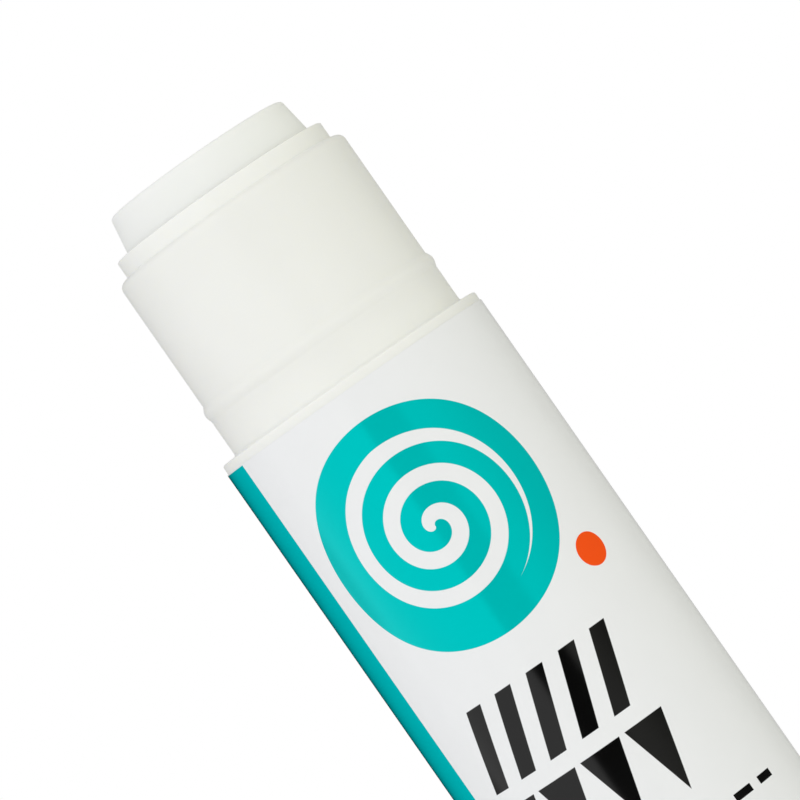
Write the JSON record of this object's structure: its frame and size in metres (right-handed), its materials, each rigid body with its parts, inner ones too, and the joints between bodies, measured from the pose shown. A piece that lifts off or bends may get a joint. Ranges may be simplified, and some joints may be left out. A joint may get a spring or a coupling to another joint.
{
  "type": "glue stick",
  "caption": "Twist-up glue stick: a labelled round barrel with a stepped neck, solid glue wound out of the lip by a ribbed knob, and its cap standing beside it.",
  "frame": {"origin": "centre of the flat bottom of the knob, on the stick's axis, where the stick stands", "axes": "+Z along the stick's axis, from the knob to the glue's tip; -Y is the front of the label; +X is to the right of the front"},
  "size_m": [0.0476, 0.0206, 0.0838],
  "materials": {
    "barrel_plastic": "satin moulded polypropylene, off-white",
    "label_film": "glossy white film printed in teal, black and orange",
    "knob_plastic": "satin moulded polypropylene, off-white",
    "spindle_plastic": "moulded polypropylene, off-white",
    "carrier_plastic": "moulded polypropylene, off-white",
    "glue": "waxy translucent off-white solid adhesive",
    "cap_plastic": "satin moulded polypropylene, off-white"
  },
  "bodies": {
    "barrel_body": {"barrel": "barrel_plastic", "label": "label_film"},
    "knob_body": {"knob": "knob_plastic", "spindle": "spindle_plastic"},
    "carrier_body": {"carrier": "carrier_plastic", "glue": "glue"},
    "cap_body": {"cap": "cap_plastic"}
  },
  "joints": [
    {"name": "knob_turn", "type": "hinge", "parent": "barrel_body", "child": "knob_body", "pos_m": [0, 0, 0.01], "axis": [0, 0, 1], "range_deg": [-270, 3150]},
    {"name": "carrier_slide", "type": "slide", "parent": "barrel_body", "child": "carrier_body", "axis": [0, 0, 1], "range_m": [-0.00375, 0.04375]},
    {"name": "cap_lift", "type": "slide", "parent": "barrel_body", "child": "cap_body", "axis": [0, 0, 1], "range_m": [0, 0.09]}
  ],
  "couplings": [
    {"joint": "knob_turn", "follows": "carrier_slide", "rad_per_m": 1256.6}
  ]
}
